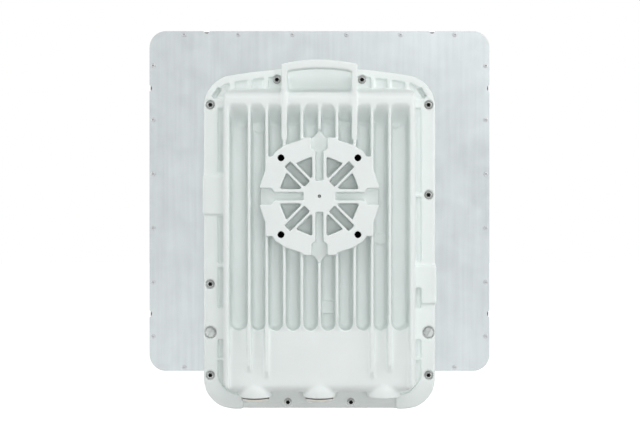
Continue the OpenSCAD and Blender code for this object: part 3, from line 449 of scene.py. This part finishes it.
def recast(obj, grain, rounding, most_triangles, crown=0, crowned=None):
    """Rebuilds a solid the way a casting leaves the mould: one skin with soft edges."""
    apply_modifier(obj, "REMESH", mode="VOXEL", voxel_size=grain, use_smooth_shade=True)
    if crown:
        group = obj.vertex_groups.new(name="crowned")
        group.add(np.flatnonzero(crowned(*points(obj).T)).tolist(), 1.0, "REPLACE")
        apply_modifier(obj, "SMOOTH", factor=0.5, iterations=crown, vertex_group="crowned")
        obj.vertex_groups.clear()
    if rounding:
        apply_modifier(obj, "SMOOTH", factor=0.5, iterations=rounding)
    count = triangles(obj)
    if count > most_triangles:
        apply_modifier(obj, "DECIMATE", ratio=most_triangles / count)
    apply_modifier(obj, "WEIGHTED_NORMAL", weight=60, keep_sharp=False)


def settle(obj, body, slot, *nodes, finish=None):
    """Gives a finished piece its finish and its body, and hides what it stands for."""
    activate(obj)
    apply_transform()
    if not obj.data.materials:
        obj.data.materials.append(material(finish or slot))
    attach(obj, body)
    if nodes:
        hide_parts(*nodes)


def solids(node):
    """The lowest and highest corners of each separate solid that a construction node holds."""
    copy = copy_of_node(node, "solids_of_" + node)
    bm = bmesh.new()
    bm.from_mesh(copy.data)
    bpy.data.objects.remove(copy)
    boxes = []
    left = set(bm.verts)
    while left:
        stack = [left.pop()]
        island = []
        while stack:
            vert = stack.pop()
            island.append(vert.co)
            for edge in vert.link_edges:
                other = edge.other_vert(vert)
                if other in left:
                    left.discard(other)
                    stack.append(other)
        co = np.array(island)
        boxes.append((Vector(co.min(0)), Vector(co.max(0))))
    bm.free()
    return sorted(boxes, key=lambda box: tuple(round(c, 4) for c in box[0]))


def edit(obj, mode="FACE"):
    activate(obj)
    bpy.ops.object.mode_set(mode="EDIT")
    bpy.ops.mesh.select_mode(type=mode)
    bpy.ops.mesh.select_all(action="DESELECT")
    return bmesh.from_edit_mesh(obj.data)


def pick_faces(obj, test):
    """Opens edit mode with the faces selected whose centre and normal pass the test."""
    bm = edit(obj)
    for face in bm.faces:
        if test(face.calc_center_median(), face.normal):
            face.select_set(True)
    bmesh.update_edit_mesh(obj.data)


def pick_edges(obj, test):
    """Opens edit mode with the edges selected whose two ends both pass the test."""
    bm = edit(obj, "EDGE")
    for e in bm.edges:
        if all(test(vert.co) for vert in e.verts):
            e.select_set(True)
    bmesh.update_edit_mesh(obj.data)


def close_edit():
    bpy.ops.object.mode_set(mode="OBJECT")


def extrude(distance):
    bpy.ops.mesh.extrude_region_move(TRANSFORM_OT_translate={"value": (0, 0, distance)})


def bevel(offset, segments):
    bpy.ops.mesh.bevel(offset=offset, segments=segments, affect="EDGES")


def pick_top(obj, height):
    """Opens edit mode with the flat faces selected that look up from the given height."""
    pick_faces(obj, lambda centre, normal:
               normal.z > 0.99 and abs(centre.z - height) < IN_PLANE)


def split_twice(half):
    """Cuts the open mesh along both sides of a slot that is to be sunk, and closes it."""
    for x in (-half, half):
        bpy.ops.mesh.select_all(action="SELECT")
        bpy.ops.mesh.bisect(plane_co=(x, 0, 0), plane_no=(1, 0, 0))
    close_edit()


def new_cylinder(name, vertices, radius, low, high):
    """A round or many-sided blank along Z, from which turned parts are shaped."""
    deselect()
    bpy.ops.mesh.primitive_cylinder_add(vertices=vertices, radius=radius, depth=high - low,
                                        location=(0, 0, (low + high) / 2))
    obj = added(name)
    apply_transform()
    return obj


def add_shank(obj, radius, head_r, depth):
    """Draws a round shank out of the underside of a head that sits on Z = 0."""
    pick_faces(obj, lambda centre, normal: normal.z < -0.9 and abs(centre.z) < IN_PLANE)
    bpy.ops.mesh.inset(thickness=head_r - radius)
    extrude(-depth)
    bevel(0.3 * MM, 1)
    close_edit()


def soften_rim(obj, height, offset, segments=3):
    """Rounds the edges that lie in the plane Z = height."""
    pick_edges(obj, lambda co: abs(co.z - height) < IN_PLANE)
    bevel(offset, segments)
    close_edit()


def lobed_socket(obj, height, radius, head_r, depth):
    """Sinks a six-lobed socket into the flat top of a head."""
    lobe = 0.14
    pick_top(obj, height)
    bpy.ops.mesh.inset(thickness=head_r - radius)
    bm = bmesh.from_edit_mesh(obj.data)
    for vert in {v for face in bm.faces if face.select for v in face.verts}:
        turn = math.atan2(vert.co.y, vert.co.x)
        reach = radius * (1 + lobe * math.cos(6 * turn)) / math.hypot(vert.co.x, vert.co.y)
        vert.co.x *= reach
        vert.co.y *= reach
    extrude(-depth)
    close_edit()


def darken(obj, finish, inside):
    """Gives a part its finish, and the near-black painted shade to the faces that lie inside a
    recess.
    """
    obj.data.materials.append(material(finish))
    obj.data.materials.append(material("thread"))
    for face in obj.data.polygons:
        if inside(face.center):
            face.material_index = 1


def face_rear(obj):
    """Turns a part made along +Z so that its head looks out of the unit's back, along -Y."""
    obj.rotation_euler = (math.pi / 2, 0, 0)
    activate(obj)
    apply_transform()


def copies_at(obj, name, places):
    """Copies of a finished part at the given places, joined to one piece."""
    made = []
    for place in places:
        copy = bpy.data.objects.new(name, obj.data.copy())
        bpy.context.scene.collection.objects.link(copy)
        copy.location = place
        made.append(copy)
    bpy.data.objects.remove(obj)
    deselect()
    for copy in made:
        copy.select_set(True)
    bpy.context.view_layer.objects.active = made[0]
    apply_transform()
    bpy.ops.object.join()
    return added(name)


def smooth(obj):
    activate(obj)
    bpy.ops.object.shade_smooth_by_angle(angle=STAYS_SHARP)


def centre_of(box):
    return (box[0] + box[1]) / 2


def half_width(box):
    return (box[1].x - box[0].x) / 2


def within(values, zone):
    return (values > zone[0]) & (values < zone[1])


# ---------------------------------------------------------------- pieces

class RADIO_OT_materials(bpy.types.Operator):
    """Make every finish of the unit"""
    bl_idname = "radio.materials"
    bl_label = "Make Finishes"

    def execute(self, context):
        make_materials()
        return {"FINISHED"}


# where the housing's walls, ends and rim are crowned, each as a lowest and a highest distance
WALL_ZONE = (-0.25, 1.3)            # inward from the walls' faces, in shares of their thickness
LOWER_ZONE = (-1 * MM, 16 * MM)     # up from the raised body's lower end
UPPER_ZONE = (4 * MM, 13 * MM)      # down from its upper end
RAISED_DEPTH = 18 * MM              # how far back from the pad face the body is crowned
FLANGE_ZONE = (30 * MM, 46 * MM)    # depth of the flange behind the pad face
HOUSING_TRIANGLES = 185000
FRONT_TRIANGLES = 90000
RADOME_TRIANGLES = 110000
RADOME_GRAIN = 1.25 * MM
RADOME_ROUNDING = 3


class RADIO_OT_housing(bpy.types.Operator):
    """Build the die-cast rear housing with its fins, pad and handle"""
    bl_idname = "radio.housing"
    bl_label = "Build Rear Housing"

    def execute(self, context):
        casting = context.scene.radio_casting
        housing = copy_of_node("rear_housing", "rear_housing_casting")
        body_low, body_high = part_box("housing_gasket")
        flange_low, flange_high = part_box("front_casting")
        reach = casting.gasket_reach

        def crowned(x, y, z):
            side = body_high.x - reach - np.abs(x)
            above = z - (body_low.z + reach)
            below = (body_high.z - reach) - z
            walls = within(side, [casting.wall * part for part in WALL_ZONE]) & (above > 0)
            ends = (side > 0) & (within(above, LOWER_ZONE) | within(below, UPPER_ZONE))
            rim = (flange_high.x - np.abs(x) < casting.rim) | (z - flange_low.z < casting.rim)
            return ((walls | ends) & (y < RAISED_DEPTH)) | (rim & within(y, FLANGE_ZONE))

        recast(housing, casting.grain, casting.rounding, HOUSING_TRIANGLES,
               casting.crown, crowned)
        # paints shade into the holes, the centre mark and the ports
        paint_hole_shade(housing)
        settle(housing, "unit", "powder_coat", "rear_housing")
        return {"FINISHED"}


BOLT_MARGIN = 1.08          # a masked radius over the hole's own, so that its wall is inside
PORT_MARGIN = 1.03
BOLT_DEPTH = 20 * MM
MARK_RADIUS = 2.2 * MM
MARK_DEPTH = 3.3 * MM
PORT_OVERRUN = 8 * MM       # how far the mask goes on past the port's mount


def paint_hole_shade(housing):
    """Paints shade into the bracket holes, the hub's centre mark and the cable ports, as the
    near-black finish on their inner faces.
    """
    holes = bpy.context.scene.radio_holes
    mounts = {mount["name"]: mount for mount in frame["record"]["mounts"]}
    dims = mounts["bracket_bolts"]["dims"]
    port = mounts["gland_port"]
    housing.data.materials.append(material("powder_coat"))
    housing.data.materials.append(material("thread"))
    half = dims["spacing_x_mm"] * MM / 2
    bolt_r = dims["hole_r_mm"] * MM * BOLT_MARGIN
    port_r = port["dims"]["r_mm"] * MM * PORT_MARGIN
    low_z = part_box("blanking_plug_left")[1].z - port["dims"]["length_mm"] * MM
    ports = [port["pos_m"][0], 0.0, -port["pos_m"][0]]
    # faces inside the bolt holes, the centre mark's dimple and the ports get the painted shade
    for face in housing.data.polygons:
        c = face.center
        in_bolt = (math.hypot(abs(c.x) - half, abs(c.z) - half) < bolt_r
                   and holes.reveal < c.y < BOLT_DEPTH)
        in_mark = math.hypot(c.x, c.z) < MARK_RADIUS and holes.reveal < c.y < MARK_DEPTH
        if in_bolt or in_mark:
            face.material_index = 1
        elif low_z + holes.reveal < c.z < port["pos_m"][2] + PORT_OVERRUN:
            if min(math.hypot(c.x - x, c.y - port["pos_m"][1]) for x in ports) < port_r:
                face.material_index = 1


class RADIO_OT_front_casting(bpy.types.Operator):
    """Build the front casting that closes the housing"""
    bl_idname = "radio.front_casting"
    bl_label = "Build Front Casting"

    def execute(self, context):
        casting = context.scene.radio_casting
        front = copy_of_node("front_casting", "front_casting_piece")
        recast(front, casting.grain, casting.rounding, FRONT_TRIANGLES)
        settle(front, "unit", "powder_coat", "front_casting")
        return {"FINISHED"}


class RADIO_OT_radome(bpy.types.Operator):
    """Build the moulded radome with its soft edges"""
    bl_idname = "radio.radome"
    bl_label = "Build Radome"

    def execute(self, context):
        radome = copy_of_node("radome", "radome_shell")
        recast(radome, RADOME_GRAIN, RADOME_ROUNDING, RADOME_TRIANGLES)
        settle(radome, "unit", "radome_plastic", "radome")
        return {"FINISHED"}


class RADIO_OT_flange_screws(bpy.types.Operator):
    """Build the socket screws that close the two castings"""
    bl_idname = "radio.flange_screws"
    bl_label = "Build Flange Screws"

    def execute(self, context):
        hardware = context.scene.radio_hardware
        boxes = solids("flange_screws")
        low, high = boxes[0]
        head_r = half_width(boxes[0])
        top = hardware.screw_head
        edge = 0.7 * MM
        screw = new_cylinder("flange_screw", 36, head_r, 0, top)
        add_shank(screw, hardware.shank, head_r, high.y - low.y - top)
        soften_rim(screw, top, edge)
        lobed_socket(screw, top, head_r * hardware.socket, head_r - edge, 1.7 * MM)
        # the socket's inner faces get painted shade
        darken(screw, "screw_metal", lambda c:
               0.5 * MM < c.z < top - 0.05 * MM and math.hypot(c.x, c.y) < head_r * 0.75)
        face_rear(screw)
        places = [(centre_of(box).x, low.y + top, centre_of(box).z) for box in boxes]
        screws = copies_at(screw, "flange_screw_set", places)
        smooth(screws)
        settle(screws, "unit", "steel", "flange_screws")
        return {"FINISHED"}


class RADIO_OT_ground_screws(bpy.types.Operator):
    """Build the two slotted hexagon ground screws"""
    bl_idname = "radio.ground_screws"
    bl_label = "Build Ground Screws"

    def execute(self, context):
        for side in ("left", "right"):
            node = "ground_screw_" + side
            screw = ground_screw(node + "_piece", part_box(node))
            settle(screw, "screw_" + side, "steel", node, finish="ground_metal")
        return {"FINISHED"}


def ground_screw(name, box):
    hardware = bpy.context.scene.radio_hardware
    low, high = box
    top = hardware.ground_head
    half_slot = 0.6 * MM
    slot_depth = 1.3 * MM
    screw = new_cylinder(name, 6, half_width(box), 0, top)
    pick_edges(screw, lambda co: True)
    bevel(0.35 * MM, 2)
    split_twice(half_slot)
    pick_faces(screw, lambda centre, normal:
               normal.z > 0.5 and centre.z > top - 0.5 * MM and abs(centre.x) < half_slot)
    extrude(-slot_depth)
    close_edit()
    shank = new_cylinder(name + "_shank", 24, hardware.ground_shank,
                         -(high.y - low.y - top), 0.2 * MM)
    activate_with(screw, shank)
    bpy.ops.object.join()
    # the flats match the construction model's, and the slot stands aslant
    screw.rotation_euler = (0, 0, math.radians(-30))
    activate(screw)
    apply_transform()
    face_rear(screw)
    screw.location = (centre_of(box).x, low.y + top, centre_of(box).z)
    smooth(screw)
    return screw


def activate_with(active, *others):
    deselect()
    for obj in (active, *others):
        obj.select_set(True)
    bpy.context.view_layer.objects.active = active


class RADIO_OT_plugs(bpy.types.Operator):
    """Build the plated blanking plugs in the left and middle ports"""
    bl_idname = "radio.plugs"
    bl_label = "Build Blanking Plugs"

    def execute(self, context):
        for side in ("left", "middle"):
            node = "blanking_plug_" + side
            plug = blanking_plug(node + "_piece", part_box(node))
            settle(plug, "plug_" + side, "plug_metal", node)
        return {"FINISHED"}


def blanking_plug(name, box):
    """A round head with a coin slot, facing down, under a threaded shank."""
    hardware = bpy.context.scene.radio_hardware
    low, high = box
    head_r = half_width(box)
    top = hardware.plug_head
    half_slot = 1.3 * MM
    slot_depth = 1.0 * MM
    dish_depth = 0.5 * MM
    dish_margin = 3 * MM
    floor_z = top - dish_depth
    plug = new_cylinder(name, 72, head_r, 0, top)
    add_shank(plug, hardware.plug_shank, head_r, high.z - low.z - top)
    soften_rim(plug, top, 0.8 * MM)
    soften_rim(plug, 0, 0.25 * MM, 1)
    pick_top(plug, top)
    bpy.ops.mesh.inset(thickness=dish_margin)
    extrude(-dish_depth)
    close_edit()
    edit(plug)
    split_twice(half_slot)
    pick_faces(plug, lambda centre, normal: normal.z > 0.9
               and abs(centre.z - floor_z) < 0.05 * MM and abs(centre.x) < half_slot)
    extrude(-slot_depth)
    close_edit()
    plug.rotation_euler = (math.pi, 0, 0)
    plug.location = (centre_of(box).x, centre_of(box).y, low.z + top)
    smooth(plug)
    return plug


class RADIO_OT_rivets(bpy.types.Operator):
    """Build the hollow rivets that hold the radome to the plate"""
    bl_idname = "radio.rivets"
    bl_label = "Build Rivets"

    def execute(self, context):
        hardware = context.scene.radio_hardware
        boxes = solids("panel_rivets")
        low, high = boxes[0]
        head_r = half_width(boxes[0])
        top = hardware.rivet_head
        edge = 0.5 * MM
        bore_r = hardware.rivet_shank * 0.55
        tail_low = -(high.y - low.y) + top
        rivet = new_cylinder("rivet", 20, head_r, 0, top)
        add_shank(rivet, hardware.rivet_shank, head_r, high.y - low.y - 2 * top)
        soften_rim(rivet, top, edge, 2)
        pick_top(rivet, top)
        bpy.ops.mesh.inset(thickness=head_r - edge - bore_r)
        extrude(-1.6 * MM)
        close_edit()
        tail = new_cylinder("rivet_tail", 20, head_r, tail_low, -(high.y - low.y) + 2 * top)
        soften_rim(tail, tail_low, 0.45 * MM, 2)
        activate_with(rivet, tail)
        bpy.ops.object.join()
        face_rear(rivet)
        places = [(centre_of(box).x, low.y + top, centre_of(box).z) for box in boxes]
        rivets = copies_at(rivet, "panel_rivet_set", places)
        smooth(rivets)
        settle(rivets, "unit", "rivet_metal", "panel_rivets")
        return {"FINISHED"}


class RADIO_OT_node_finishes(bpy.types.Operator):
    """Give every construction node that stays in view its finish"""
    bl_idname = "radio.node_finishes"
    bl_label = "Finish the Other Parts"

    def execute(self, context):
        subparts = frame["record"]["subparts"]
        slots = {part["node"]: part["material_slot"] for part in subparts}
        for name, obj in frame["nodes"].items():
            obj.data.materials.clear()
            obj.data.materials.append(material(slots[name]))
        return {"FINISHED"}


class RADIO_OT_stage(bpy.types.Operator):
    """Set the floor, the lamps, the room light and the camera"""
    bl_idname = "radio.stage"
    bl_label = "Set the Stage"

    def execute(self, context):
        stage = context.scene.radio_stage
        build_floor(CAD_LOW.z - stage.floor_gap)
        build_world(stage.ambient)
        build_lamps(stage.key)
        build_camera(stage)
        context.scene.view_settings.view_transform = "Standard"
        return {"FINISHED"}


def seen_directly(tree):
    """1 for camera, glossy and transmission rays, and 0 for the rays that light the object."""
    rays = tree.nodes.new("ShaderNodeLightPath")
    first = tree.nodes.new("ShaderNodeMath")
    first.operation = "MAXIMUM"
    second = tree.nodes.new("ShaderNodeMath")
    second.operation = "MAXIMUM"
    tree.links.new(rays.outputs["Is Camera Ray"], first.inputs[0])
    tree.links.new(rays.outputs["Is Glossy Ray"], first.inputs[1])
    tree.links.new(first.outputs[0], second.inputs[0])
    tree.links.new(rays.outputs["Is Transmission Ray"], second.inputs[1])
    return second.outputs[0]


def build_floor(height):
    deselect()
    bpy.ops.mesh.primitive_circle_add(vertices=96, radius=12, fill_type="NGON",
                                      location=(0, 0, height))
    floor = added("floor")
    made = Finish("floor_paper", (0.40, 0.40, 0.40), 0.9)
    made.tint(made.noise(3, 2), 0.01)
    tree = made.tree
    glow = tree.nodes.new("ShaderNodeEmission")
    glow.inputs["Color"].default_value = (1, 1, 1, 1)
    strength = tree.nodes.new("ShaderNodeMath")
    strength.operation = "MULTIPLY"
    strength.inputs[1].default_value = 0.95
    tree.links.new(seen_directly(tree), strength.inputs[0])
    tree.links.new(strength.outputs[0], glow.inputs["Strength"])
    both = tree.nodes.new("ShaderNodeAddShader")
    output = tree.nodes["Material Output"]
    tree.links.new(made.shader.outputs[0], both.inputs[0])
    tree.links.new(glow.outputs[0], both.inputs[1])
    tree.links.new(both.outputs[0], output.inputs["Surface"])
    floor.data.materials.append(made.material)


def build_world(ambient):
    world = bpy.data.worlds.new("studio")
    bpy.context.scene.world = world
    world.use_nodes = True
    tree = world.node_tree
    background = tree.nodes["Background"]
    background.inputs["Color"].default_value = (1, 1, 1, 1)
    level = tree.nodes.new("ShaderNodeMapRange")
    level.inputs["To Min"].default_value = ambient
    level.inputs["To Max"].default_value = 1.0
    tree.links.new(seen_directly(tree), level.inputs["Value"])
    tree.links.new(level.outputs["Result"], background.inputs["Strength"])


def build_lamps(power):
    aim = (CAD_LOW + CAD_HIGH) / 2
    for name, place, size, share_of_key, mirrored in (
        ("key_lamp", (0.20, -1.80, -0.15), 1.0, 0.78, False),
        ("top_lamp", (0.10, -0.85, 1.50), 1.1, 0.50, False),
        ("right_lamp", (1.50, -0.60, 0.50), 1.3, 1.05, True),
        ("left_lamp", (-1.50, -0.60, 0.45), 1.3, 0.92, True),
        ("sheen_lamp", (0.50, -1.75, 1.05), 0.9, 0.30, True),
        ("back_lamp", (0.30, 1.40, 1.10), 1.2, 1.9, True),
    ):
        data = bpy.data.lights.new(name, "AREA")
        data.shape = "DISK"
        data.size = size
        data.energy = power * share_of_key
        lamp = bpy.data.objects.new(name, data)
        bpy.context.scene.collection.objects.link(lamp)
        lamp.location = place
        lamp.visible_glossy = mirrored
        lamp.rotation_euler = (aim - lamp.location).to_track_quat("-Z", "Y").to_euler()


def build_camera(stage):
    data = bpy.data.cameras.new("camera")
    data.sensor_width = 36
    data.lens = stage.lens
    data.clip_start = 0.01
    data.clip_end = 60
    camera = bpy.data.objects.new("camera", data)
    bpy.context.scene.collection.objects.link(camera)
    camera.location = (stage.camera_side, -stage.camera_distance, stage.camera_height)
    camera.rotation_euler = (math.pi / 2, 0, 0)
    bpy.context.scene.camera = camera


class RADIO_PT_panel(bpy.types.Panel):
    """Lists the unit's pieces and their sizes"""
    bl_label = "Radio Unit"
    bl_idname = "RADIO_PT_panel"
    bl_space_type = "VIEW_3D"
    bl_region_type = "UI"
    bl_category = "Radio Unit"

    def draw(self, context):
        for name, group in GROUPS.items():
            box = self.layout.box()
            for key in group.__annotations__:
                box.prop(getattr(context.scene, name), key)
        for operator in STEPS:
            self.layout.operator(operator.bl_idname)


STEPS = (
    RADIO_OT_materials,
    RADIO_OT_stage,
    RADIO_OT_node_finishes,
    RADIO_OT_housing,
    RADIO_OT_front_casting,
    RADIO_OT_radome,
    RADIO_OT_flange_screws,
    RADIO_OT_ground_screws,
    RADIO_OT_plugs,
    RADIO_OT_rivets,
)


def register():
    for group in GROUPS.values():
        bpy.utils.register_class(group)
    for name, group in GROUPS.items():
        setattr(bpy.types.Scene, name, bpy.props.PointerProperty(type=group))
    for step in STEPS:
        bpy.utils.register_class(step)
    bpy.utils.register_class(RADIO_PT_panel)


def unregister():
    bpy.utils.unregister_class(RADIO_PT_panel)
    for step in reversed(STEPS):
        bpy.utils.unregister_class(step)
    for name, group in GROUPS.items():
        delattr(bpy.types.Scene, name)
        bpy.utils.unregister_class(group)


def main():
    register()
    for step in STEPS:
        area, call = step.bl_idname.split(".")
        getattr(getattr(bpy.ops, area), call)()


if __name__ == "__main__":
    main()
